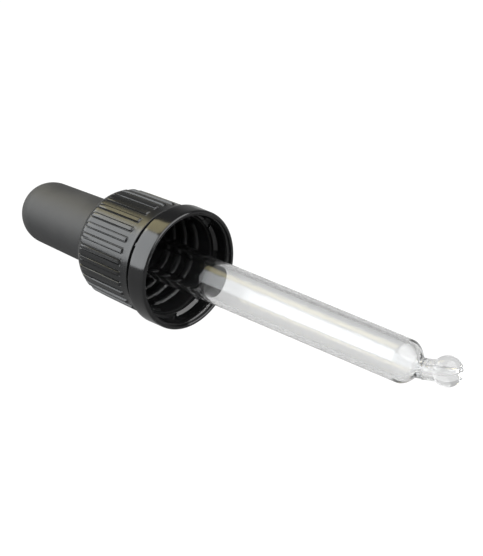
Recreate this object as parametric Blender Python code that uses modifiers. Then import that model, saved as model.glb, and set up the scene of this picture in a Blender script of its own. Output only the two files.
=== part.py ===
"""Medicine dropper closure: rubber bulb, screw cap, tamper-evident ring and bent-tip glass pipette.

Each piece is modelled upright, as the dropper stands on its bottle: heights run along its own axis, from 0 at
the tamper ring's open rim, positive towards the bulb. An empty then lays the whole dropper on its side, with
the pipette towards +X and the ring resting on the ground. Units are metres.
"""

import math

import bmesh
import bpy
from mathutils import Matrix, Vector

# Clearances
SEAT_GAP = 0.00005  # radial, rubber on glass
HOLE_GAP = 0.0001  # radial, cap hole round the bulb's neck
FACE_GAP = 0.0001  # between faces that rest on each other
BRIDGE_GAP = 0.0001  # where a bridge tears off the cap

# Bottle thread, which sizes the cap and the ring
THREAD_ROOT_R = 0.00915
THREAD_DEPTH = 0.00045
THREAD_BAR_R = 0.00055
THREAD_PITCH = 0.003
THREAD_TURNS = 3
THREAD_PARTS = 8  # thread lengths in one turn
THREAD_BREAK = math.radians(5)  # gap between two lengths
THREAD_PHASE = math.radians(192)

# Tamper-evident ring
RING_H = 0.0044
RING_PROUD = 0.001  # how far it stands out from the cap's skirt
RING_BORE_OUT = 0.0008  # how far its bore lies outside the thread root
RING_EDGE = 0.0004
RING_MOUTH_LAND = 0.0003
RING_MOUTH_DEPTH = 0.0007
BEAD_LOW = 0.0030
BEAD_HIGH = 0.0043
BEAD_DEPTH = 0.0006
BRIDGE_COUNT = 10
BRIDGE_W = 0.0006
BRIDGE_T = 0.0004
BRIDGE_ROOT = 0.0002

# Screw cap
SLIT = 0.00075
CAP_H = 0.01525
CAP_WALL = 0.00105  # at the skirt
CAP_DRAFT = 0.00035  # how much smaller the body is at its shoulder
CAP_TOP_WALL = 0.0012
SHOULDER_FILLET = 0.0024
TOP_LAND = 0.0006  # flat left round the top hole
SKIRT_LIP = 0.0003
INNER_CORNER = 0.0005
RIB_COUNT = 30
RIB_PHASE = math.radians(6.5)
RIB_W = 0.00078
RIB_TIP_W = 0.0006
RIB_PROUD = 0.00038
RIB_ROOT = 0.0003
RIB_STOP = 0.0001  # ribs end this far below the shoulder
COLLAR_H = 0.00215  # plain band below the ribs

# Rubber bulb
NECK_R = 0.00627
BULB_R = 0.00582  # where the dome starts
BULB_STRAIGHT = 0.0165  # from the cap's top to the dome
DOME_H = 0.0059
BULB_WALL = 0.0015
FLANGE_H = 0.0015
FLANGE_CLEAR = 0.0004  # flange edge to thread crest
SLEEVE_L = 0.0038
SLEEVE_WALL = 0.00095
CHAMBER_FLARE = 0.0014

# Glass pipette
TUBE_R = 0.0039
TUBE_WALL = 0.0009
TUBE_REACH = 0.0532  # straight tube beyond the ring's rim
TUBE_SEATED = 0.0004  # tube end below the cap's top
SHOULDER_L = 0.0032
NECK_TUBE_R = 0.0018
NECK_BORE_R = 0.0007
BALL_R = 0.0027
BALL_OUT = 0.0055  # from shoulder to ball centre
BEND = math.radians(22)
BEND_L = 0.0024

# Facets
CAP_STEPS = 90
RING_STEPS = 48
BULB_STEPS = 40
TUBE_STEPS = 32

# Worked out
CREST_R = THREAD_ROOT_R - THREAD_DEPTH
SKIRT_R = THREAD_ROOT_R + CAP_WALL
SKIRT_Z = RING_H + SLIT
CAP_TOP_Z = SKIRT_Z + CAP_H
HOLE_R = NECK_R + HOLE_GAP
BODY_TOP_R = SKIRT_R - CAP_DRAFT
FILLET = min(SHOULDER_FILLET, BODY_TOP_R - HOLE_R - TOP_LAND)
SHOULDER_Z = CAP_TOP_Z - FILLET
RING_R = SKIRT_R + RING_PROUD
RING_BORE_R = THREAD_ROOT_R + RING_BORE_OUT
TOP_WALL_Z = CAP_TOP_Z - CAP_TOP_WALL
FLANGE_Z = TOP_WALL_Z - FACE_GAP
DOME_Z = CAP_TOP_Z + BULB_STRAIGHT
TUBE_TOP_Z = CAP_TOP_Z - TUBE_SEATED
BEND_Z = -TUBE_REACH - SHOULDER_L


def arc(centre, radius, start, end, steps):
    """Points (r, z) of an arc, its angles in degrees from the +r direction. A radius pair makes it elliptical."""
    wide, high = radius if isinstance(radius, tuple) else (radius, radius)
    points = []
    for i in range(steps + 1):
        angle = math.radians(start + (end - start) * i / steps)
        points.append((centre[0] + wide * math.cos(angle), centre[1] + high * math.sin(angle)))
    return points


def material(name, colour, roughness, alpha=1.0):
    mat = bpy.data.materials.new(name)
    mat.use_nodes = True
    shader = mat.node_tree.nodes["Principled BSDF"]
    shader.inputs["Base Color"].default_value = (*colour, 1)
    shader.inputs["Roughness"].default_value = roughness
    shader.inputs["Metallic"].default_value = 0
    shader.inputs["Alpha"].default_value = alpha
    return mat


def add(name, mesh, collection, parent, mat=None):
    obj = bpy.data.objects.new(name, mesh)
    collection.objects.link(obj)
    obj.parent = parent
    if mat:
        mesh.materials.append(mat)
    return obj


def turned(name, profile, steps, closed, collection, parent, mat=None, start=0.0):
    """A profile of (r, z) points spun round the axis; closed joins its last point to its first.

    The first corner stands at the angle start from +X.
    """
    mesh = bpy.data.meshes.new(name)
    edges = [(i, i + 1) for i in range(len(profile) - 1)]
    if closed:
        edges.append((len(profile) - 1, 0))
    mesh.from_pydata([(r * math.cos(start), r * math.sin(start), z) for r, z in profile], edges, [])
    obj = add(name, mesh, collection, parent, mat)
    screw = obj.modifiers.new("Turn", "SCREW")
    screw.steps = steps
    screw.render_steps = steps
    screw.use_merge_vertices = True
    screw.merge_threshold = 0.00001
    return obj


def baked(obj):
    """The object's evaluated mesh, with coincident points joined."""
    graph = bpy.context.evaluated_depsgraph_get()
    mesh = bpy.data.meshes.new_from_object(obj.evaluated_get(graph))
    shape = bmesh.new()
    shape.from_mesh(mesh)
    bmesh.ops.remove_doubles(shape, verts=shape.verts, dist=0.000001)
    shape.to_mesh(mesh)
    shape.free()
    return mesh


def join(target, tool):
    """Unites a hidden tool with the target."""
    tool.hide_render = True
    tool.display_type = "WIRE"
    union = target.modifiers.new(tool.name, "BOOLEAN")
    union.operation = "UNION"
    union.object = tool


def smooth(obj):
    obj.data.shade_smooth()
    obj.data.set_sharp_from_angle(angle=math.radians(35))


def body_r(z):
    """The cap's outer radius between its skirt and its shoulder."""
    return SKIRT_R - CAP_DRAFT * (z - SKIRT_Z) / (SHOULDER_Z - SKIRT_Z)


def bent(point):
    """Carries a point of the straight pipette to the bent neck, which leans towards +Y."""
    below = BEND_Z - point.z
    if below <= 0:
        return point
    turn = BEND * min(below / BEND_L, 1)
    radius = BEND_L / BEND
    straight = max(below - BEND_L, 0)
    y = radius * (1 - math.cos(turn)) + straight * math.sin(turn)
    z = -radius * math.sin(turn) - straight * math.cos(turn)
    return Vector((point.x, y + point.y * math.cos(turn), BEND_Z + z + point.y * math.sin(turn)))


def cap_profile():
    """The shell: top hole, shoulder, drafted side, skirt edge, then up the thread root to the top wall."""
    outside = [(HOLE_R, CAP_TOP_Z)]
    outside += arc((BODY_TOP_R - FILLET, SHOULDER_Z), FILLET, 90, 0, 6)
    outside += [(SKIRT_R, SKIRT_Z + SKIRT_LIP), (SKIRT_R - SKIRT_LIP, SKIRT_Z)]
    inside = [(THREAD_ROOT_R + SKIRT_LIP, SKIRT_Z), (THREAD_ROOT_R, SKIRT_Z + SKIRT_LIP)]
    inside += [(THREAD_ROOT_R, TOP_WALL_Z - INNER_CORNER), (THREAD_ROOT_R - INNER_CORNER, TOP_WALL_Z)]
    return outside + inside + [(HOLE_R, TOP_WALL_Z)]


def rib_tool(collection, parent):
    """The grip ribs: drafted bars set round the side, each rooted in the wall."""
    shape = bmesh.new()
    low = SKIRT_Z + COLLAR_H
    high = SHOULDER_Z - RIB_STOP
    for i in range(RIB_COUNT):
        turn = Matrix.Rotation(RIB_PHASE + math.tau * i / RIB_COUNT, 4, "Z")
        for vert in bmesh.ops.create_cube(shape, size=1)["verts"]:
            z = low + (high - low) * (vert.co.z + 0.5)
            outer = vert.co.x > 0
            r = body_r(z) + (RIB_PROUD if outer else -RIB_ROOT)
            vert.co = turn @ Vector((r, vert.co.y * (RIB_TIP_W if outer else RIB_W), z))
    mesh = bpy.data.meshes.new("ribs")
    shape.to_mesh(mesh)
    shape.free()
    return add("ribs", mesh, collection, parent)


def thread_tool(collection, parent):
    """The interrupted right-hand thread: round bars along a helix, sunk into the wall."""
    curve = bpy.data.curves.new("thread", "CURVE")
    curve.dimensions = "3D"
    curve.bevel_depth = THREAD_BAR_R
    curve.bevel_resolution = 2
    curve.use_fill_caps = True
    start_z = SKIRT_Z + SKIRT_LIP + THREAD_BAR_R
    centre_r = CREST_R + THREAD_BAR_R
    pitch_angle = math.tau / THREAD_PARTS
    spans = 4
    for part in range(THREAD_PARTS * THREAD_TURNS):
        spline = curve.splines.new("POLY")
        spline.points.add(spans)
        for i, point in enumerate(spline.points):
            turn = part * pitch_angle + (pitch_angle - THREAD_BREAK) * i / spans
            z = start_z + THREAD_PITCH * turn / math.tau
            angle = THREAD_PHASE + turn
            point.co = (centre_r * math.cos(angle), centre_r * math.sin(angle), z, 1)
    bars = bpy.data.objects.new("thread_path", curve)
    collection.objects.link(bars)
    mesh = baked(bars)
    bpy.data.objects.remove(bars)
    return add("thread", mesh, collection, parent)


def screw_cap(parts, tools, parent):
    plastic = material("cap_plastic", (0.018, 0.018, 0.02), 0.32)
    cap = turned("screw_cap", cap_profile(), CAP_STEPS, True, parts, parent, plastic)
    join(cap, rib_tool(tools, parent))
    join(cap, thread_tool(tools, parent))
    smooth(cap)


def ring_profile():
    """Band with rounded outer edges, a chamfered mouth and a retaining bead inside."""
    outside = arc((RING_R - RING_EDGE, RING_H - RING_EDGE), RING_EDGE, 90, 0, 3)
    outside += arc((RING_R - RING_EDGE, RING_EDGE), RING_EDGE, 0, -90, 3)
    mouth = [(RING_BORE_R + RING_MOUTH_LAND, 0), (RING_BORE_R, RING_MOUTH_DEPTH)]
    bead_r = RING_BORE_R - BEAD_DEPTH
    bead = [(RING_BORE_R, BEAD_LOW), (bead_r, BEAD_LOW + BEAD_DEPTH), (bead_r, BEAD_HIGH - 0.2 * BEAD_DEPTH)]
    return outside + mouth + bead + [(bead_r + 0.2 * BEAD_DEPTH, RING_H)]


def bridge_tool(collection, parent):
    """Stubs of the breakable bridges, standing in the slit just short of the cap's skirt."""
    shape = bmesh.new()
    low = RING_H - BRIDGE_ROOT
    high = SKIRT_Z - BRIDGE_GAP
    centre_r = THREAD_ROOT_R + CAP_WALL / 2
    for i in range(BRIDGE_COUNT):
        turn = Matrix.Rotation(math.tau * (i + 0.5) / BRIDGE_COUNT, 4, "Z")
        for vert in bmesh.ops.create_cube(shape, size=1)["verts"]:
            z = low + (high - low) * (vert.co.z + 0.5)
            vert.co = turn @ Vector((centre_r + vert.co.x * BRIDGE_T, vert.co.y * BRIDGE_W, z))
    mesh = bpy.data.meshes.new("bridges")
    shape.to_mesh(mesh)
    shape.free()
    return add("bridges", mesh, collection, parent)


def tamper_ring(parts, tools, parent):
    plastic = material("ring_plastic", (0.015, 0.015, 0.017), 0.22)
    # half a step round, so that the dropper lies on a flat of the ring and not on a corner
    start = math.pi / RING_STEPS
    ring = turned("tamper_ring", ring_profile(), RING_STEPS, True, parts, parent, plastic, start)
    join(ring, bridge_tool(tools, parent))
    smooth(ring)


def bulb_profile():
    """Dome, tapered side, neck, flange and sleeve outside; glass seat, chamber and inner dome inside."""
    bore_r = TUBE_R + SEAT_GAP
    sleeve_r = bore_r + SLEEVE_WALL
    flange_r = CREST_R - FLANGE_CLEAR
    flange_low = FLANGE_Z - FLANGE_H
    outside = arc((0, DOME_Z), (BULB_R, DOME_H), 90, 0, 8)
    outside += [(NECK_R, CAP_TOP_Z), (NECK_R, FLANGE_Z), (flange_r, FLANGE_Z), (flange_r, flange_low)]
    outside += [(sleeve_r, flange_low), (sleeve_r, flange_low - SLEEVE_L), (bore_r, flange_low - SLEEVE_L)]
    seat_z = TUBE_TOP_Z + FACE_GAP
    inside = [(bore_r, seat_z), (NECK_R - BULB_WALL, seat_z + CHAMBER_FLARE)]
    inside += arc((0, DOME_Z), (BULB_R - BULB_WALL, DOME_H - BULB_WALL), 0, 90, 6)
    return outside + inside


def rubber_bulb(parts, parent):
    rubber = material("bulb_rubber", (0.025, 0.025, 0.026), 0.55)
    bulb = turned("rubber_bulb", bulb_profile(), BULB_STEPS, False, parts, parent, rubber)
    smooth(bulb)


def pipette_profile():
    """The pipette before its neck is bent: tube, shoulder, neck and ball outside, then back up the bore."""
    ball_z = BEND_Z - BALL_OUT
    bore_r = TUBE_R - TUBE_WALL
    ball_top = math.degrees(math.acos(NECK_TUBE_R / BALL_R))
    mouth = math.degrees(math.acos(2 * NECK_BORE_R / BALL_R))
    shoulder = [0.04, 0.18, 0.5, 0.82, 1]
    outside = [(TUBE_R, TUBE_TOP_Z), (TUBE_R, -TUBE_REACH)]
    inside = []
    for step in shoulder:
        blend = (1 - math.cos(math.pi * step)) / 2
        z = -TUBE_REACH - SHOULDER_L * step
        outside.append((TUBE_R + (NECK_TUBE_R - TUBE_R) * blend, z))
        inside.append((bore_r + (NECK_BORE_R - bore_r) * blend, z))
    for i in range(1, 4):
        outside.append((NECK_TUBE_R, BEND_Z - BEND_L * i / 3))
        inside.append((NECK_BORE_R, BEND_Z - BEND_L * i / 3))
    outside += arc((0, ball_z), BALL_R, ball_top, -mouth, 9)
    end_z = outside[-1][1]
    bore = [(NECK_BORE_R, end_z)] + inside[::-1] + [(bore_r, -TUBE_REACH), (bore_r, TUBE_TOP_Z)]
    return outside + bore


def glass_pipette(parts, parent):
    glass = material("clear_glass", (0.93, 0.95, 0.95), 0.02, 0.35)
    straight = turned("straight_pipette", pipette_profile(), TUBE_STEPS, True, parts, None)
    mesh = baked(straight)
    bpy.data.objects.remove(straight)
    for vert in mesh.vertices:
        vert.co = bent(vert.co)
    pipette = add("glass_pipette", mesh, parts, parent, glass)
    smooth(pipette)


def tip_reach():
    """How far the ball's end lies beyond the ring's rim once the neck is bent."""
    centre = bent(Vector((0, 0, BEND_Z - BALL_OUT)))
    return BALL_R - centre.z


def main():
    for obj in list(bpy.data.objects):
        bpy.data.objects.remove(obj)
    parts = bpy.data.collections.new("medicine_dropper")
    tools = bpy.data.collections.new("tools")
    bpy.context.scene.collection.children.link(parts)
    bpy.context.scene.collection.children.link(tools)
    # Laid down: the bulb end goes to -X, and the origin is under the middle of the whole length.
    flat_r = RING_R * math.cos(math.pi / RING_STEPS)
    laid = bpy.data.objects.new("laid_axis", None)
    parts.objects.link(laid)
    laid.location = ((DOME_Z + DOME_H - tip_reach()) / 2, 0, flat_r)
    laid.rotation_euler = (0, -math.pi / 2, 0)
    screw_cap(parts, tools, laid)
    tamper_ring(parts, tools, laid)
    rubber_bulb(parts, laid)
    glass_pipette(parts, laid)


main()
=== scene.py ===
import math

import bpy
import numpy as np
from mathutils import Matrix, Vector


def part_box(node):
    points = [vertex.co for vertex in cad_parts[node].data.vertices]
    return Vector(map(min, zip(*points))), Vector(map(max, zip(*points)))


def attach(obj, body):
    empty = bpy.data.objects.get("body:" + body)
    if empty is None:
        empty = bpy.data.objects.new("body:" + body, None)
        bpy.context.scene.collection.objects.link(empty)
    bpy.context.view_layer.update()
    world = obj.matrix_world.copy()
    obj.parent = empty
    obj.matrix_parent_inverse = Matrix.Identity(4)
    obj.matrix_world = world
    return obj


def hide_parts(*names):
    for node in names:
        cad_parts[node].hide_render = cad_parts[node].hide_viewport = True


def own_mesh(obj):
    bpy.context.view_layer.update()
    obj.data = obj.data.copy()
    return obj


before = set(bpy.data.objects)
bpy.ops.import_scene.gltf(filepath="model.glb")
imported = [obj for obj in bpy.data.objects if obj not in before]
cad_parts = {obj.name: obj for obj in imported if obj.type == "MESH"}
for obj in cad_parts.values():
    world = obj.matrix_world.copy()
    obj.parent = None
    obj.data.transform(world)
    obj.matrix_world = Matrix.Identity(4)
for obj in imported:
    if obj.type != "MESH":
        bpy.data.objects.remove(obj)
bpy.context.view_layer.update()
print("dropper: CAD frame loaded")

# Where the pieces are, read from the CAD. Pieces are made upright in millimetres, heights counted from the
# ring's open rim towards the bulb, and then laid on their side in the CAD's place.
mm = 0.001
ringLow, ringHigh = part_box("tamper_ring")
capLow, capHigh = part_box("screw_cap")
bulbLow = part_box("rubber_bulb")[0]
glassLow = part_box("glass_pipette")[0]
rimX = ringHigh.x
axisZ = (ringLow.z + ringHigh.z) / 2
ringR = (ringHigh.z - ringLow.z) / 2 / mm
capTop = (rimX - capLow.x) / mm
skirtLow = (rimX - capHigh.x) / mm
domeTop = (rimX - bulbLow.x) / mm
tubeTop = (rimX - glassLow.x) / mm
roundSteps = 128
laid = Matrix(((0, 0, -mm, rimX), (0, mm, 0, 0), (mm, 0, 0, axisZ), (0, 0, 0, 1)))


class Wire:
    # One socket of a node tree, so that sums on values read as sums.
    def __init__(self, tree, socket=None):
        self.tree = tree
        self.socket = socket

    def node(self, kind, settings=None, sockets=None, out=0):
        made = self.tree.nodes.new(kind)
        for name, value in (settings or {}).items():
            if name == "stops":
                while len(made.color_ramp.elements) < len(value):
                    made.color_ramp.elements.new(0.5)
                for element, (place, level) in zip(made.color_ramp.elements, value):
                    element.position = place
                    element.color = (level, level, level, 1)
            else:
                setattr(made, name, value)
        for key, value in (sockets or {}).items():
            if isinstance(value, Wire):
                self.tree.links.new(value.socket, made.inputs[key])
            else:
                made.inputs[key].default_value = value
        return Wire(self.tree, made.outputs[out]) if made.outputs else None

    def other(self, name):
        return Wire(self.tree, self.socket.node.outputs[name])

    def maths(self, operation, *values):
        return self.node("ShaderNodeMath", {"operation": operation}, dict(enumerate(values)))

    def __add__(self, value):
        return self.maths("ADD", self, value)

    def __radd__(self, value):
        return self.maths("ADD", value, self)

    def __sub__(self, value):
        return self.maths("SUBTRACT", self, value)

    def __rsub__(self, value):
        return self.maths("SUBTRACT", value, self)

    def __mul__(self, value):
        return self.maths("MULTIPLY", self, value)

    def __rmul__(self, value):
        return self.maths("MULTIPLY", value, self)

    def __truediv__(self, value):
        return self.maths("DIVIDE", self, value)

    def __gt__(self, value):
        return self.maths("GREATER_THAN", self, value)

    def __lt__(self, value):
        return self.maths("LESS_THAN", self, value)

    def step(self, start, end):
        # 0 before start, 1 after end, smooth between them; start may be the larger one
        ease = {"interpolation_type": "SMOOTHSTEP"}
        if isinstance(start, Wire) or isinstance(end, Wire) or start < end:
            return self.node("ShaderNodeMapRange", ease, {0: self, 1: start, 2: end})
        return 1 - self.node("ShaderNodeMapRange", ease, {0: self, 1: end, 2: start})


def arc(centreR, centreZ, wide, high, start, end, steps):
    # points (r, z), angles in degrees from the outward direction
    turns = np.radians(np.linspace(start, end, steps + 1))
    return list(zip(centreR + wide * np.cos(turns), centreZ + high * np.sin(turns)))


def turned(name, outline, angles, loop=True):
    # Spins (r, z) points round the axis. The outline runs down the outer side, so that faces look outwards.
    # A point on the axis becomes one vertex.
    verts = []
    rows = []
    for r, z in outline:
        if r == 0:
            rows.append([len(verts)] * len(angles))
            verts.append((0, 0, z))
            continue
        rows.append(list(range(len(verts), len(verts) + len(angles))))
        verts += [(r * math.cos(a), r * math.sin(a), z) for a in angles]
    faces = []
    pairs = list(zip(rows, rows[1:]))
    if loop:
        pairs.append((rows[-1], rows[0]))
    for upper, lower in pairs:
        for i in range(len(angles)):
            j = (i + 1) % len(angles)
            corners = (upper[i], lower[i], lower[j], upper[j])
            face = tuple(dict.fromkeys(corners))
            if len(face) > 2:
                faces.append(face)
    mesh = bpy.data.meshes.new(name)
    mesh.from_pydata(verts, [], faces)
    return mesh


def evenly(count):
    return [math.tau * i / count for i in range(count)]


def reliefTree(name, sizes):
    # A Geometry Nodes tree with one named input for each size.
    tree = bpy.data.node_groups.new(name, "GeometryNodeTree")
    tree.interface.new_socket("Geometry", in_out="INPUT", socket_type="NodeSocketGeometry")
    tree.interface.new_socket("Geometry", in_out="OUTPUT", socket_type="NodeSocketGeometry")
    for size in sizes:
        tree.interface.new_socket(size, in_out="INPUT", socket_type="NodeSocketFloat")
    wire = Wire(tree)
    return tree, wire, wire.node("NodeGroupInput")


def closeTree(wire, geometry, mat):
    real = wire.node("GeometryNodeRealizeInstances", {}, {0: geometry})
    painted = wire.node("GeometryNodeSetMaterial", {}, {"Geometry": real, "Material": mat})
    wire.node("NodeGroupOutput", {}, {0: painted})


def grown(name, mesh, tree, sizes):
    # Runs the tree on the mesh and keeps the result as a plain mesh.
    obj = bpy.data.objects.new(name, mesh)
    bpy.context.scene.collection.objects.link(obj)
    modifier = obj.modifiers.new("relief", "NODES")
    modifier.node_group = tree
    for item in tree.interface.items_tree:
        if item.in_out == "INPUT" and item.name in sizes:
            modifier[item.identifier] = float(sizes[item.name])
    graph = bpy.context.evaluated_depsgraph_get()
    result = bpy.data.meshes.new_from_object(obj.evaluated_get(graph))
    obj.modifiers.clear()
    obj.data = result
    return obj


def plain(name, mesh, mat):
    obj = bpy.data.objects.new(name, mesh)
    bpy.context.scene.collection.objects.link(obj)
    mesh.materials.append(mat)
    return obj


def settle(obj, body, nodes, sharp=35):
    # Lays the piece in the CAD's place, smooths it and ties it to its body.
    obj.data.transform(laid)
    obj.data.shade_smooth()
    obj.data.set_sharp_from_angle(angle=math.radians(sharp))
    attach(obj, body)
    if nodes:
        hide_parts(*nodes)


def newMaterial(name):
    made = bpy.data.materials.new(name)
    made.use_nodes = True
    made.node_tree.nodes.clear()
    return made, Wire(made.node_tree)


def surface(wire, sockets):
    shader = wire.node("ShaderNodeBsdfPrincipled", {}, sockets)
    wire.node("ShaderNodeOutputMaterial", {}, {"Surface": shader})


def noise(wire, place, scale, detail=2.0):
    return wire.node("ShaderNodeTexNoise", {}, {"Vector": place, "Scale": scale, "Detail": detail})


def blendColour(wire, factor, first, second):
    return wire.node("ShaderNodeMix", {"data_type": "RGBA"}, {0: factor, 6: (*first, 1), 7: (*second, 1)}, 2)


def bumps(wire, height, strength, depth):
    return wire.node("ShaderNodeBump", {}, {"Strength": strength, "Distance": depth, "Height": height})


def onAxis(wire):
    # Object position with the dropper's axis at the origin.
    place = wire.node("ShaderNodeTexCoord", out="Object")
    return wire.node("ShaderNodeMapping", {}, {"Vector": place, "Location": (-rimX, 0, -axisZ)})


def fromAxis(wire, place):
    parts = wire.node("ShaderNodeSeparateXYZ", {}, {0: place})
    y, z = parts.other("Y"), parts.other("Z")
    return wire.maths("SQRT", y * y + z * z)


# Finishes. Lengths here are in metres, as Object coordinates are.
capFinish = {
    "colour": (0.0072, 0.0074, 0.0078),
    "rubbed": (0.0125, 0.0125, 0.013),
    "roughness": 0.27,
    "ior": 1.5,
    "cloudScale": 260,
    "cloudRough": 0.1,
    "grainScale": 5200,
    "grainRough": 0.05,
    "grainStrength": 0.35,
    "grainDepth": 0.000004,
    "ribTipR": 0.01028,  # wear starts here and is full a little further out
    "wearFade": 0.00016,
    "wearPatches": (0.42, 0.62),
    "wearColour": 0.8,
    "wearPolish": 0.05,
    "insideR": 0.0093,
    "insideFade": 0.0002,
    "insideRough": 0.16,  # added on the inner wall
}


def capPlastic():
    finish = capFinish
    mat, wire = newMaterial("satinBlackPlastic")
    place = onAxis(wire)
    radius = fromAxis(wire, place)
    cloud = noise(wire, place, finish["cloudScale"], 3)
    grain = noise(wire, place, finish["grainScale"], 2)
    handled = radius.step(finish["ribTipR"], finish["ribTipR"] + finish["wearFade"])
    handled = handled * cloud.step(*finish["wearPatches"])
    colour = blendColour(wire, handled * finish["wearColour"], finish["colour"], finish["rubbed"])
    roughness = finish["roughness"] + (cloud - 0.5) * finish["cloudRough"]
    roughness = roughness + (grain - 0.5) * finish["grainRough"] - handled * finish["wearPolish"]
    inside = radius.step(finish["insideR"] + finish["insideFade"], finish["insideR"])
    roughness = roughness + inside * finish["insideRough"]
    normal = bumps(wire, grain, finish["grainStrength"], finish["grainDepth"])
    surface(wire, {"Base Color": colour, "Roughness": roughness, "Normal": normal, "IOR": finish["ior"]})
    return mat


ringFinish = {
    "colour": (0.0055, 0.0056, 0.006),
    "streak": (0.0075, 0.0076, 0.008),
    "roughness": 0.13,
    "ior": 1.5,
    "flowScale": 420,
    "flowStretch": 0.35,  # under 1 draws the streaks out along the axis
    "flowRough": 0.08,
    "flowStrength": 0.3,
    "flowDepth": 0.000006,
    "grainScale": 5200,
    "grainRough": 0.04,
}


def ringPlastic():
    finish = ringFinish
    mat, wire = newMaterial("glossBlackPlastic")
    place = onAxis(wire)
    stretched = wire.node("ShaderNodeMapping", {}, {"Vector": place, "Scale": (finish["flowStretch"], 1, 1)})
    flow = noise(wire, stretched, finish["flowScale"], 3)
    grain = noise(wire, place, finish["grainScale"], 2)
    colour = blendColour(wire, flow, finish["colour"], finish["streak"])
    roughness = finish["roughness"] + (flow - 0.5) * finish["flowRough"]
    roughness = roughness + (grain - 0.5) * finish["grainRough"]
    normal = bumps(wire, flow, finish["flowStrength"], finish["flowDepth"])
    surface(wire, {"Base Color": colour, "Roughness": roughness, "Normal": normal, "IOR": finish["ior"]})
    return mat


bulbFinish = {
    "colour": (0.0245, 0.0247, 0.025),
    "dusty": (0.034, 0.0337, 0.033),
    "roughness": 0.62,
    "ior": 1.5,
    "cloudScale": 190,
    "cloudPatches": (0.38, 0.68),
    "cloudShare": 0.6,
    "cloudRough": 0.12,
    "speckScale": 2100,
    "speckPatches": (0.71, 0.78),
    "speckShare": 0.4,
    "pitScale": 3400,
    "pitStrength": 0.5,
    "pitDepth": 0.00001,
}


def bulbRubber():
    finish = bulbFinish
    mat, wire = newMaterial("mattBlackRubber")
    place = onAxis(wire)
    cloud = noise(wire, place, finish["cloudScale"], 4)
    pits = noise(wire, place, finish["pitScale"], 3)
    specks = noise(wire, place, finish["speckScale"], 1).step(*finish["speckPatches"])
    dusty = cloud.step(*finish["cloudPatches"]) * finish["cloudShare"] + specks * finish["speckShare"]
    colour = blendColour(wire, dusty, finish["colour"], finish["dusty"])
    roughness = finish["roughness"] + (cloud - 0.5) * finish["cloudRough"]
    normal = bumps(wire, pits, finish["pitStrength"], finish["pitDepth"])
    surface(wire, {"Base Color": colour, "Roughness": roughness, "Normal": normal, "IOR": finish["ior"]})
    return mat


glassFinish = {
    "colour": (0.985, 0.99, 0.992),
    "ior": 1.37,
    "alpha": 0.94,  # softens the darkest lines at its edges
    "drawScale": 330,
    "drawStretch": 0.05,  # draws the waves out along the tube
    "drawStrength": 0.4,
    "drawDepth": 0.000008,
}


def clearGlass():
    finish = glassFinish
    mat, wire = newMaterial("clearGlass")
    stretch = (finish["drawStretch"], 1, 1)
    drawn = wire.node("ShaderNodeMapping", {}, {"Vector": onAxis(wire), "Scale": stretch})
    wave = noise(wire, drawn, finish["drawScale"], 2)
    surface(wire, {
        "Base Color": (*finish["colour"], 1),
        "Roughness": 0.0,
        "IOR": finish["ior"],
        "Transmission Weight": 1.0,
        "Alpha": finish["alpha"],
        "Normal": bumps(wire, wave, finish["drawStrength"], finish["drawDepth"]),
    })
    return mat


# Screw cap: a drafted shell with a rounded shoulder, 30 grip ribs and an interrupted thread inside. In this
# dictionary and the next four, lengths are in millimetres, R is a radius, and Low and High are heights above
# the rim.
cap = {
    "wallR": 9.5,  # between the outer and the inner side
    "skirtR": 10.2,
    "bodyTopR": 9.85,
    "shoulder": 2.4,
    "holeR": 6.37,
    "holeEdge": 0.08,
    "topWall": 1.2,
    "threadRootR": 9.15,
    "lip": 0.12,
    "innerCorner": 0.5,
    "ribCount": 30,
    "ribPhase": math.radians(6.5),
    "ribTip": 0.32,  # half widths: flat top, foot, and the groove beside it
    "ribFoot": 0.41,
    "grooveIn": 0.5,
    "grooveOut": 0.62,
    "ribProud": 0.26,
    "grooveDeep": 0.14,
    "ribLow": skirtLow + 2.15,
    "ribHigh": capTop - 1.2,
    "ribEnd": 0.45,
    "ribFade": 1.6,
    "hemHigh": skirtLow + 0.38,  # the skirt steps in below this, so that the slit is dark
    "hemR": 9.7,
    "hemLow": 4.25,
    "hemEdge": 0.05,
    "threadPitch": 3.0,
    "threadStart": skirtLow + 0.85,
    "threadPhase": math.radians(192),
    "threadHalf": 0.8,
    "threadDepth": 0.5,
    "threadTurns": 3,
    "threadParts": 8,
    "threadGap": 0.11,
    "threadEnd": 0.05,
}


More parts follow.
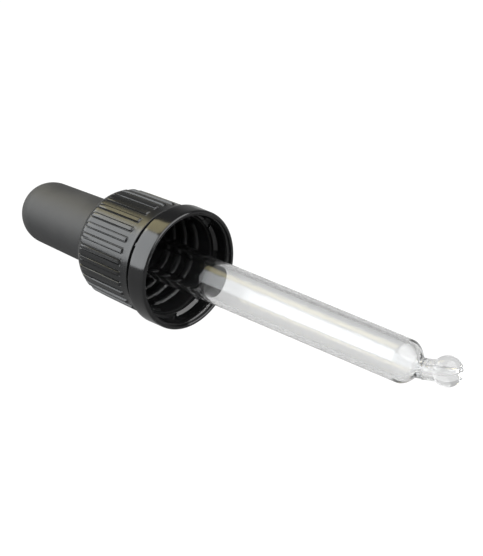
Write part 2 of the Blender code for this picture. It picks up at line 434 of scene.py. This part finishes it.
def capOutline():
    shoulderZ = capTop - cap["shoulder"]
    centreR = cap["bodyTopR"] - cap["shoulder"]
    rim = cap["holeR"] + cap["holeEdge"]
    points = [(rim, capTop), ((rim + centreR) / 2, capTop)]
    points += arc(centreR, shoulderZ, cap["shoulder"], cap["shoulder"], 90, 0, 30)
    # rows down the side, close together where the ribs end
    sideZ = [shoulderZ - 2.5, shoulderZ - 5, shoulderZ - 7.5, cap["ribLow"] + 1]
    sideZ += [cap["ribLow"] + cap["ribEnd"] * step for step in (1, 0.8, 0.6, 0.4, 0.2, 0)]
    sideZ += [cap["ribLow"] - 0.6, cap["hemHigh"] + cap["lip"] + 0.1]
    draft = (cap["skirtR"] - cap["bodyTopR"]) / (shoulderZ - skirtLow)
    points += [(cap["skirtR"] - draft * (z - skirtLow), z) for z in sideZ]
    lip = cap["lip"]
    points += arc(cap["skirtR"] - lip, cap["hemHigh"] + lip, lip, lip, 0, -90, 4)
    rootR = cap["threadRootR"]
    points += [(cap["hemR"], cap["hemHigh"]), (cap["hemR"], cap["hemLow"] + cap["hemEdge"])]
    points += [(cap["hemR"] - cap["hemEdge"], cap["hemLow"]), (rootR, cap["hemLow"]), (rootR, skirtLow)]
    threadTop = cap["threadStart"] + cap["threadPitch"] * cap["threadTurns"] + cap["threadHalf"]
    threadRow = 0.14  # rows this close carry the thread's section
    points += [(rootR, z) for z in np.arange(skirtLow + 3 * threadRow, threadTop, threadRow)]
    ceiling = capTop - cap["topWall"]
    corner = cap["innerCorner"]
    points += [(rootR, ceiling - corner - 1)]
    points += arc(rootR - corner, ceiling - corner, corner, corner, 0, 90, 5)
    points += [(cap["holeR"], ceiling), (cap["holeR"], capTop - cap["holeEdge"])]
    return points


def capColumns():
    # Angles of the points round the cap, from distances off each rib's middle. They crowd at the flanks and
    # the grooves, so that a rib keeps crisp edges.
    flank = (0.31, 0.35, 0.39, 0.43, 0.5, 0.56, 0.63)
    land = (0.85, 1.08, 1.31)
    offsets = [-offset for offset in reversed(flank)] + [0, *flank, *land]
    ribR = cap["skirtR"] + 0.1
    columns = []
    for rib in range(cap["ribCount"]):
        centre = cap["ribPhase"] + math.tau * rib / cap["ribCount"]
        columns += [centre + offset / ribR for offset in offsets]
    return columns


def cylinderPlace(wire):
    # Position of each vertex as x, y, height, radius and angle round the upright axis.
    parts = wire.node("ShaderNodeSeparateXYZ", {}, {0: wire.node("GeometryNodeInputPosition")})
    x, y, z = parts.other("X"), parts.other("Y"), parts.other("Z")
    return x, y, z, wire.maths("SQRT", x * x + y * y), wire.maths("ARCTAN2", y, x)


def pushed(wire, geometry, x, y, radius, lift):
    offset = wire.node("ShaderNodeCombineXYZ", {}, {0: x / radius * lift, 1: y / radius * lift, 2: 0.0})
    return wire.node("GeometryNodeSetPosition", {}, {"Geometry": geometry, "Offset": offset})


def lengths(wire, turns, gap, end):
    # 1 along each length and 0 in the gap after it, smooth at both ends; turns counts the lengths
    share = turns - wire.maths("FLOOR", turns)
    lengthEnd = 1 - gap
    return share.step(0.0, end) * (1 - share.step(lengthEnd - end, lengthEnd))


def makeCap():
    tree, wire, sizes = reliefTree("capRelief", cap)
    size = sizes.other
    x, y, z, radius, angle = cylinderPlace(wire)
    outer = radius > size("wallR")
    # ribs
    turn = (angle - size("ribPhase")) * size("ribCount") / math.tau
    away = wire.maths("ABSOLUTE", turn - wire.maths("ROUND", turn)) * math.tau / size("ribCount") * radius
    drop = size("ribProud") + size("grooveDeep")
    rib = size("ribProud") - away.step(size("ribTip"), size("ribFoot")) * drop
    rib = rib + away.step(size("grooveIn"), size("grooveOut")) * size("grooveDeep")
    rib = rib * z.step(size("ribLow"), size("ribLow") + size("ribEnd"))
    rib = rib * (1 - z.step(size("ribHigh") - size("ribFade"), size("ribHigh")))
    ribLift = rib * outer
    # thread
    risen = (z - size("threadStart")) / size("threadPitch")
    around = (angle - size("threadPhase")) / math.tau
    along = around + wire.maths("ROUND", risen - around)
    offCrest = (risen - along) * size("threadPitch") / size("threadHalf")
    bar = wire.maths("SQRT", wire.maths("MAXIMUM", 1 - offCrest * offCrest, 0.0))
    ends = lengths(wire, along * size("threadParts"), size("threadGap"), size("threadEnd"))
    inTurns = (along > 0.0) * (along < size("threadTurns"))
    threadLift = bar * ends * inTurns * (1 - outer) * size("threadDepth")
    geometry = pushed(wire, sizes, x, y, radius, ribLift - threadLift)
    closeTree(wire, geometry, capPlastic())
    obj = grown("screwCap", turned("screwCap", capOutline(), capColumns()), tree, cap)
    settle(obj, "cap", ["screw_cap"])


makeCap()
print("dropper: screw cap made")

# Tamper-evident ring: rounded band, stepped rim, lugs that catch under the bottle's bead, torn bridges
ring = {
    "height": 4.15,
    "topEdge": 0.22,
    "edge": 0.38,
    "boreR": 9.95,
    "collarR": 9.45,  # narrow collar under the slit
    "collarLow": 3.75,
    "faceR": 10.62,
    "stepR": 10.5,
    "stepDepth": 0.42,
    "stepEdge": 0.06,
    "mouthR": 10.16,
    "mouthDepth": 1.1,
    "wallR": 10.5,
    "roundSteps": 320,
    "lugCount": 8,
    "lugPhase": math.radians(192),
    "lugGap": 0.22,
    "lugEnd": 0.06,
    "lugLow": 3.0,
    "lugFull": 3.6,
    "lugDepth": 0.6,
    "bridgeCount": 10,
    "bridgeR": 10.0,
    "bridgeLow": 4.1,
    "bridgeHigh": skirtLow + 0.05,
    "bridgeWide": 0.6,
    "bridgeThick": 0.3,
}


def ringOutline():
    edge = ring["edge"]
    top = ring["height"]
    topEdge = ring["topEdge"]
    points = arc(ringR - topEdge, top - topEdge, topEdge, topEdge, 90, 0, 6)
    points += [(ringR, z) for z in (3.2, 2.2, 1.2)]
    points += arc(ringR - edge, edge, edge, edge, 0, -90, 6)
    stepEdge = ring["stepEdge"]
    points += [(ring["faceR"], 0), (ring["stepR"], 0.1), (ring["stepR"] - 0.02, ring["stepDepth"])]
    points += [(ring["mouthR"] + stepEdge, ring["stepDepth"])]
    points += [(ring["mouthR"], ring["stepDepth"] + stepEdge)]
    points += [(ring["boreR"] + 0.03, ring["mouthDepth"]), (ring["boreR"], ring["mouthDepth"] + 0.1)]
    # rows up the bore, close together where the lugs stand
    points += [(ring["boreR"], z) for z in np.arange(1.5, 2.8, 0.4)]
    points += [(ring["boreR"], z) for z in np.arange(2.9, ring["collarLow"], 0.1)]
    points += [(ring["collarR"], z) for z in (ring["collarLow"] + 0.05, top)]
    return points


def makeRing():
    tree, wire, sizes = reliefTree("ringRelief", ring)
    size = sizes.other
    x, y, z, radius, angle = cylinderPlace(wire)
    inner = radius < size("wallR")
    turns = (angle - size("lugPhase")) * size("lugCount") / math.tau
    lug = lengths(wire, turns, size("lugGap"), size("lugEnd"))
    lug = lug * z.step(size("lugLow"), size("lugFull")) * (z < size("collarLow"))
    geometry = pushed(wire, sizes, x, y, radius, 0 - lug * inner * size("lugDepth"))
    # bridges stand on a circle, half a step round from +X
    count = size("bridgeCount")
    tall = size("bridgeHigh") - size("bridgeLow")
    circle = wire.node("GeometryNodeMeshCircle", {}, {"Vertices": count, "Radius": size("bridgeR")})
    turn = (wire.node("GeometryNodeInputIndex") + 0.5) * math.tau / count
    onCircle = wire.node("ShaderNodeCombineXYZ", {}, {
        0: wire.maths("COSINE", turn) * size("bridgeR"),
        1: wire.maths("SINE", turn) * size("bridgeR"),
        2: size("bridgeLow") + tall * 0.5,
    })
    points = wire.node("GeometryNodeSetPosition", {}, {"Geometry": circle, "Position": onCircle})
    extent = wire.node("ShaderNodeCombineXYZ", {}, {0: size("bridgeThick"), 1: size("bridgeWide"), 2: tall})
    stub = wire.node("GeometryNodeMeshCube", {}, {"Size": extent})
    swing = wire.node("ShaderNodeCombineXYZ", {}, {2: turn})
    stubs = wire.node("GeometryNodeInstanceOnPoints", {}, {
        "Points": points,
        "Instance": stub,
        "Rotation": wire.node("FunctionNodeEulerToRotation", {}, {0: swing}),
    })
    joined = wire.node("GeometryNodeJoinGeometry", {}, {0: geometry})
    wire.tree.links.new(stubs.socket, joined.socket.node.inputs[0])
    closeTree(wire, joined, ringPlastic())
    obj = grown("tamperRing", turned("tamperRing", ringOutline(), evenly(ring["roundSteps"])), tree, ring)
    settle(obj, "ring", ["tamper_ring"])


makeRing()
print("dropper: tamper ring made")

# Rubber bulb: the part that is squeezed, and the neck that stays in the cap
bulb = {
    "neckR": 6.27,
    "domeR": 5.82,
    "straight": 16.5,  # from the cap's top to the dome
    "wall": 1.5,
    "lowEnd": capTop - 0.2,
    "lowEdge": 0.05,
    "squeezed": 0.5,  # of its thickness
    "squeezedAt": capTop + 8,
}


def bulbOutline():
    domeZ = capTop + bulb["straight"]
    domeH = domeTop - domeZ
    points = [(0, domeTop)]
    points += arc(0, domeZ, bulb["domeR"], domeH, 87, 0, 30)
    flare = bulb["neckR"] - bulb["domeR"]
    side = np.linspace(0, 1, 18)[1:]
    points += [(bulb["domeR"] + flare * t, domeZ - (domeZ - capTop) * t) for t in side]
    points += [(bulb["neckR"], bulb["lowEnd"] + bulb["lowEdge"])]
    points += [(bulb["neckR"] - bulb["lowEdge"], bulb["lowEnd"])]
    innerR = bulb["neckR"] - bulb["wall"]
    points += [(innerR, bulb["lowEnd"]), (innerR, capTop + 1)]
    points += arc(0, domeZ, bulb["domeR"] - bulb["wall"], domeH - bulb["wall"], 0, 85, 16)
    points += [(0, domeTop - bulb["wall"])]
    return points


# The crown stands inside the bulb, and fills the cap's hole when the bulb is squeezed.
neck = {
    "flangeR": 8.3,
    "flangeLow": capTop - 2.8,
    "flangeHigh": capTop - 1.3,
    "edge": 0.2,
    "sleeveR": 4.9,
    "sleeveLow": capTop - 6.6,
    "boreR": 3.95,
    "holeFitR": 6.22,
    "crownR": 6.12,
    "crownTaper": 0.5,
    "crownBoreR": 4.5,
    "crownTop": capTop + 4.4,
    "crownNarrow": 0.46,  # share of its width left at the top, along the squeeze
}


def neckOutline():
    edge = neck["edge"]
    flangeR = neck["flangeR"]
    sleeveR = neck["sleeveR"]
    crownH = neck["crownTop"] - capTop
    crown = np.linspace(0, 1, 9)[::-1]
    points = [(neck["crownR"] - neck["crownTaper"] * t, capTop + crownH * t) for t in crown]
    points += [(neck["holeFitR"], capTop - 0.15), (neck["holeFitR"], neck["flangeHigh"])]
    points += [(flangeR - edge, neck["flangeHigh"]), (flangeR, neck["flangeHigh"] - edge)]
    points += [(flangeR, neck["flangeLow"] + edge), (flangeR - edge, neck["flangeLow"])]
    points += [(sleeveR + edge, neck["flangeLow"]), (sleeveR, neck["flangeLow"] - edge)]
    points += [(sleeveR - 0.1, neck["sleeveLow"]), (neck["boreR"], neck["sleeveLow"])]
    points += [(neck["boreR"], tubeTop + 0.1)]
    points += [(neck["crownBoreR"], tubeTop + 1.2), (neck["crownBoreR"], neck["crownTop"])]
    return points


def makeBulb():
    rubber = bulbRubber()
    shell = plain("rubberBulb", turned("rubberBulb", bulbOutline(), evenly(roundSteps), loop=False), rubber)
    settle(shell, "pipette", ["rubber_bulb"], sharp=50)
    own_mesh(shell)
    root = plain("bulbNeck", turned("bulbNeck", neckOutline(), evenly(roundSteps)), rubber)
    for vert in root.data.vertices:
        rise = min(max((vert.co.z - capTop) / (neck["crownTop"] - capTop), 0), 1)
        ease = rise * rise * (3 - 2 * rise)
        vert.co.x *= 1 - (1 - neck["crownNarrow"]) * ease
    settle(root, "pipette", None, sharp=50)


makeBulb()
print("dropper: rubber bulb made")

# Glass pipette: straight tube, drawn shoulder, and a bent neck with a ball end
glass = {
    "tubeR": 3.9,
    "boreR": 3.0,
    "reach": 53.2,  # straight tube beyond the rim
    "shoulder": 3.2,
    "shoulderWave": 0.75,  # share of its shape that is a wave and not a quarter round
    "neckR": 1.8,
    "neckBoreR": 0.6,
    "ballR": 2.7,
    "ballOut": 5.5,  # from shoulder to ball centre
    "bend": math.radians(22),
    "bendLength": 2.4,
    "lean": math.radians(15),  # how far the neck leans up from +Y
    "ringCount": 4,
    "ringProud": 0.07,
    "topEdge": 0.25,
}


def glassOutline():
    bendZ = -glass["reach"] - glass["shoulder"]
    ballZ = bendZ - glass["ballOut"]
    outside = [(glass["tubeR"] - glass["topEdge"], tubeTop), (glass["tubeR"], tubeTop - glass["topEdge"])]
    outside += [(glass["tubeR"], z) for z in np.linspace(tubeTop - 4, -glass["reach"], 24)]
    inside = [(glass["boreR"], tubeTop)]
    inside += [(glass["boreR"], z) for z in np.linspace(tubeTop - 4, -glass["reach"] + 0.6, 12)]
    # shoulder
    for t in np.linspace(0, 1, 15)[1:]:
        fall = 1 - math.sqrt(max(1 - t * t, 0)) if t < 0.999 else 1.0
        wave = 0.5 * (1 - math.cos(math.pi * t))
        blend = wave * glass["shoulderWave"] + fall * (1 - glass["shoulderWave"])
        z = -glass["reach"] - glass["shoulder"] * t
        outside.append((glass["tubeR"] + (glass["neckR"] - glass["tubeR"]) * blend, z))
        inside.append((glass["boreR"] + (glass["neckBoreR"] - glass["boreR"]) * blend, z + 0.5 * (1 - t)))
    # the neck with its rings, down to where it meets the ball
    meet = math.degrees(math.acos(glass["neckR"] / glass["ballR"]))
    neckEnd = ballZ + glass["ballR"] * math.sin(math.radians(meet))
    for t in np.linspace(0, 1, 34)[1:-1]:
        z = bendZ + (neckEnd - bendZ) * t
        ripple = glass["ringProud"] * math.sin(math.pi * glass["ringCount"] * t) ** 2
        outside.append((glass["neckR"] + ripple, z))
    outside += arc(0, ballZ, glass["ballR"], glass["ballR"], meet, -57, 26)
    # the orifice, with a rounded edge
    endR, endZ = outside[-1]
    outside += [(endR - 0.12, endZ - 0.07), (glass["neckBoreR"] + 0.35, endZ - 0.05)]
    outside += [(glass["neckBoreR"] + 0.1, endZ + 0.15)]
    bore = [(glass["neckBoreR"], z) for z in np.linspace(endZ + 0.5, bendZ - 0.3, 14)]
    return outside + bore + inside[::-1]


def bent(co):
    # Carries a point of the straight pipette to the neck that leans aside.
    bendZ = -glass["reach"] - glass["shoulder"]
    below = bendZ - co.z
    if below <= 0:
        return co
    turn = glass["bend"] * min(below / glass["bendLength"], 1)
    radius = glass["bendLength"] / glass["bend"]
    straight = max(below - glass["bendLength"], 0)
    leanX, leanY = math.sin(glass["lean"]), math.cos(glass["lean"])
    along = co.x * leanX + co.y * leanY
    across = co.x * leanY - co.y * leanX
    out = radius * (1 - math.cos(turn)) + straight * math.sin(turn) + along * math.cos(turn)
    z = bendZ - radius * math.sin(turn) - straight * math.cos(turn) + along * math.sin(turn)
    return Vector((out * leanX + across * leanY, out * leanY - across * leanX, z))


def makeGlass():
    tube = plain("glassPipette", turned("glassPipette", glassOutline(), evenly(roundSteps)), clearGlass())
    for vert in tube.data.vertices:
        vert.co = bent(vert.co)
    settle(tube, "pipette", ["glass_pipette"], sharp=60)


makeGlass()
print("dropper: glass pipette made")

# Camera
view = {  # metres, and a lens in millimetres
    "azimuth": math.radians(46.0),
    "elevation": math.radians(23.7),
    "distance": 0.6247,
    "right": 0.00936,
    "up": -0.00134,
    "lens": 225.85,
}


def towardsCamera():
    azimuth, elevation = view["azimuth"], view["elevation"]
    flat = math.cos(elevation)
    return Vector((flat * math.sin(azimuth), -flat * math.cos(azimuth), math.sin(elevation)))


def makeCamera():
    back = towardsCamera()
    right = Vector((math.cos(view["azimuth"]), math.sin(view["azimuth"]), 0))
    up = back.cross(right)
    data = bpy.data.cameras.new("camera")
    data.lens = view["lens"]
    data.clip_start = 0.01
    data.clip_end = 20
    obj = bpy.data.objects.new("camera", data)
    bpy.context.scene.collection.objects.link(obj)
    place = Vector((rimX, 0, axisZ)) + back * view["distance"] + right * view["right"] + up * view["up"]
    turn = Matrix((right, up, back)).transposed().to_4x4()
    obj.matrix_world = Matrix.Translation(place) @ turn
    bpy.context.scene.camera = obj


makeCamera()

# Floor and light. The key and the warm strip stand off the dropper's left, each at an angle round its axis:
# 0 faces the camera, and more is higher up. Lifts and spreads are in degrees, lengths in metres.
studio = {
    "aimBack": 0.005,  # lights aim at the axis, this far behind the rim
    "distance": 0.6,
    "sideways": 0.7526,  # share of that distance which lies across the axis
    "keyLift": 3.5,
    "keySpread": 66,
    "keyWide": 0.8,
    "keyRadiance": 4.4,
    "keyColour": (0.95, 0.98, 1.0),
    "warmLift": 54,
    "warmSpread": 26,
    "warmWide": 0.5,
    "warmRadiance": 3.2,
    "warmColour": (1.0, 0.89, 0.52),
    "overheadFrom": (0.6, 0.1, 0.79),
    "overheadWide": 0.8,
    "overheadRadiance": 4.0,
    "backdrop": 1.0,  # how bright the surroundings look to the eye
    "floorThroughGlass": 0.66,
    "skyThroughGlass": 0.5,
    "insideGlass": 0.4,
    "floorHalf": 3.0,
    "floorColour": (0.03, 0.03, 0.03),
    "glossPaintedShadow": 0.35,  # painted shadow: the floor under the dropper glows dimmer to glossy rays
    "glossFar": 0.4,
    "glossChange": (0.035, 0.09),
    "glossHorizon": 0.25,
    "glossZenith": 0.05,
    "zenithChange": (0.2, 0.6),
    "fill": 0.4,
}


def softbox(name, toLight, tallways, wide, tall, radiance, colour):
    data = bpy.data.lights.new(name, "AREA")
    data.shape = "RECTANGLE"
    data.size = wide
    data.size_y = tall
    data.energy = radiance * math.pi * wide * tall
    data.color = colour
    obj = bpy.data.objects.new(name, data)
    bpy.context.scene.collection.objects.link(obj)
    sideways = tallways.cross(toLight).normalized()
    rotation = Matrix((sideways, tallways, toLight)).transposed().to_4x4()
    middle = Vector((rimX - studio["aimBack"], 0, axisZ))
    obj.matrix_world = Matrix.Translation(middle + toLight * studio["distance"]) @ rotation
    obj.visible_camera = False


def roundAxis(name, lift, spread, wide, radiance, colour):
    back = towardsCamera()
    facing = Vector((0, back.y, back.z)).normalized()
    upward = Vector((0, facing.z, -facing.y))
    turn = math.radians(lift)
    across = facing * math.cos(turn) + upward * math.sin(turn)
    tallways = upward * math.cos(turn) - facing * math.sin(turn)
    toLight = Vector((-math.sqrt(1 - studio["sideways"] ** 2), 0, 0)) + across * studio["sideways"]
    tall = 2 * studio["distance"] * studio["sideways"] * math.tan(math.radians(spread / 2))
    softbox(name, toLight, tallways, wide, tall, radiance, colour)


def byRay(wire, gloss, throughGlass):
    # A brightness for each kind of ray: seen directly, through glass, off the inside of glass, in a glossy
    # surface, or as fill.
    path = wire.node("ShaderNodeLightPath")
    seen = path.other("Is Camera Ray")
    through = path.other("Is Transmission Ray")
    shiny = path.other("Is Glossy Ray")
    inGlass = path.other("Transmission Depth") > 0.5
    clear = (1 - seen) * through
    inner = (1 - seen) * (1 - through) * inGlass
    other = (1 - seen) * (1 - through) * (1 - inGlass)
    level = seen * studio["backdrop"] + clear * throughGlass + inner * studio["insideGlass"]
    return level + other * (shiny * gloss + (1 - shiny) * studio["fill"])


def makeLights():
    roundAxis(
        "keySoftbox", studio["keyLift"], studio["keySpread"], studio["keyWide"],
        studio["keyRadiance"], studio["keyColour"],
    )
    roundAxis(
        "warmStrip", studio["warmLift"], studio["warmSpread"], studio["warmWide"],
        studio["warmRadiance"], studio["warmColour"],
    )
    # lights the mouth of the cap from the tube's side
    toLight = Vector(studio["overheadFrom"]).normalized()
    across = toLight.cross(Vector((0, 1, 0))).normalized()
    side = studio["overheadWide"]
    softbox("overhead", toLight, across, side, side, studio["overheadRadiance"], (1, 1, 1))


def makeFloor():
    mesh = bpy.data.meshes.new("floor")
    half = studio["floorHalf"]
    corners = [(-half, -half, 0), (half, -half, 0), (half, half, 0), (-half, half, 0)]
    mesh.from_pydata(corners, [], [(0, 1, 2, 3)])
    mat, wire = newMaterial("paleFloor")
    place = wire.node("ShaderNodeTexCoord", out="Object")
    reach = wire.node("ShaderNodeVectorMath", {"operation": "LENGTH"}, {0: place}, "Value")
    # painted shadow: glossy rays see the floor darker close to the dropper and brighter further out
    spread = studio["glossFar"] - studio["glossPaintedShadow"]
    gloss = studio["glossPaintedShadow"] + reach.step(*studio["glossChange"]) * spread
    level = byRay(wire, gloss, studio["floorThroughGlass"])
    glow = wire.node("ShaderNodeEmission", {}, {"Color": (1, 1, 1, 1), "Strength": level})
    matt = wire.node("ShaderNodeBsdfDiffuse", {}, {"Color": (*studio["floorColour"], 1)})
    both = wire.node("ShaderNodeAddShader", {}, {0: glow, 1: matt})
    wire.node("ShaderNodeOutputMaterial", {}, {"Surface": both})
    plain("floor", mesh, mat)


def makeSurroundings():
    world = bpy.data.worlds.new("studio")
    world.use_nodes = True
    world.node_tree.nodes.clear()
    wire = Wire(world.node_tree)
    aim = wire.node("ShaderNodeSeparateXYZ", {}, {0: wire.node("ShaderNodeTexCoord", out="Generated")})
    raised = aim.other("Z").step(*studio["zenithChange"])
    gloss = studio["glossHorizon"] + raised * (studio["glossZenith"] - studio["glossHorizon"])
    level = byRay(wire, gloss, studio["skyThroughGlass"])
    light = wire.node("ShaderNodeBackground", {}, {"Color": (1, 1, 1, 1), "Strength": level})
    wire.node("ShaderNodeOutputWorld", {}, {"Surface": light})
    bpy.context.scene.world = world
    bpy.context.scene.view_settings.view_transform = "Standard"


makeLights()
makeFloor()
makeSurroundings()
print("dropper: camera, floor and light set")
